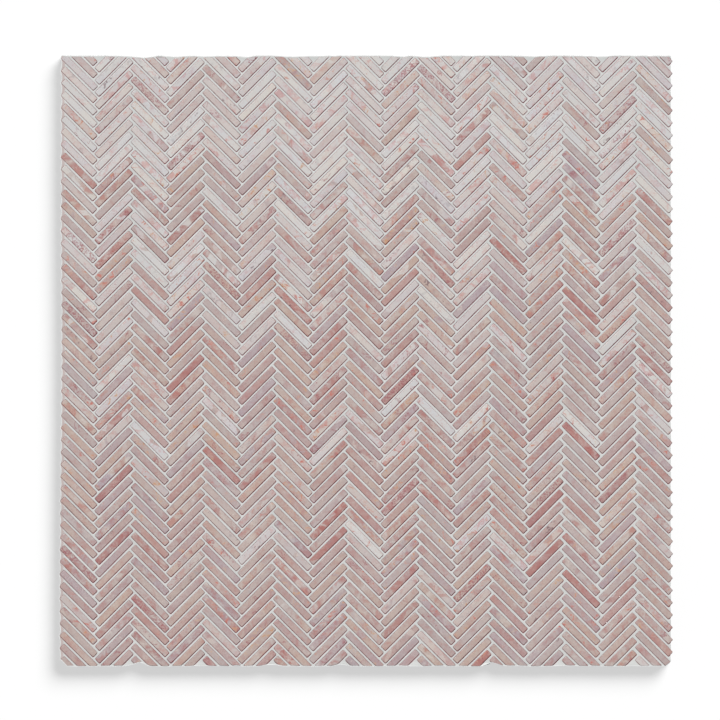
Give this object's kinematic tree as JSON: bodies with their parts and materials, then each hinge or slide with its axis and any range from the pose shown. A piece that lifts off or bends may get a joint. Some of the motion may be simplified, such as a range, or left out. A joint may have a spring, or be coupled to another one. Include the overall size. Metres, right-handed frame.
{
  "type": "limestone herringbone mosaic tile",
  "caption": "Square mesh-backed mosaic sheet of slim honed limestone strips laid in 45 degree herringbone, saw-cut top and bottom, serrated at the sides.",
  "frame": {"origin": "middle of the mesh backing's underside, which the sheet lies on", "axes": "+Z out of the honed face, +Y along the zigzag columns towards the picture's top edge, +X to its right"},
  "size_m": [0.3068, 0.305, 0.008],
  "materials": {
    "limestone": "honed, edges tumbled",
    "grout": "matt, fine sanded",
    "mesh": "coated glass-fibre net"
  },
  "bodies": {
    "root": {"strips_column_01": "limestone", "strips_column_02": "limestone", "strips_column_03": "limestone", "strips_column_04": "limestone", "strips_column_05": "limestone", "strips_column_06": "limestone", "strips_column_07": "limestone", "strips_column_08": "limestone", "strips_column_09": "limestone", "strips_column_10": "limestone", "strips_column_11": "limestone", "strips_column_12": "limestone", "strips_column_13": "limestone", "strips_column_14": "limestone", "strips_column_15": "limestone", "strips_column_16": "limestone", "strips_column_17": "limestone", "mesh_backing": "mesh"}
  },
  "joints": []
}
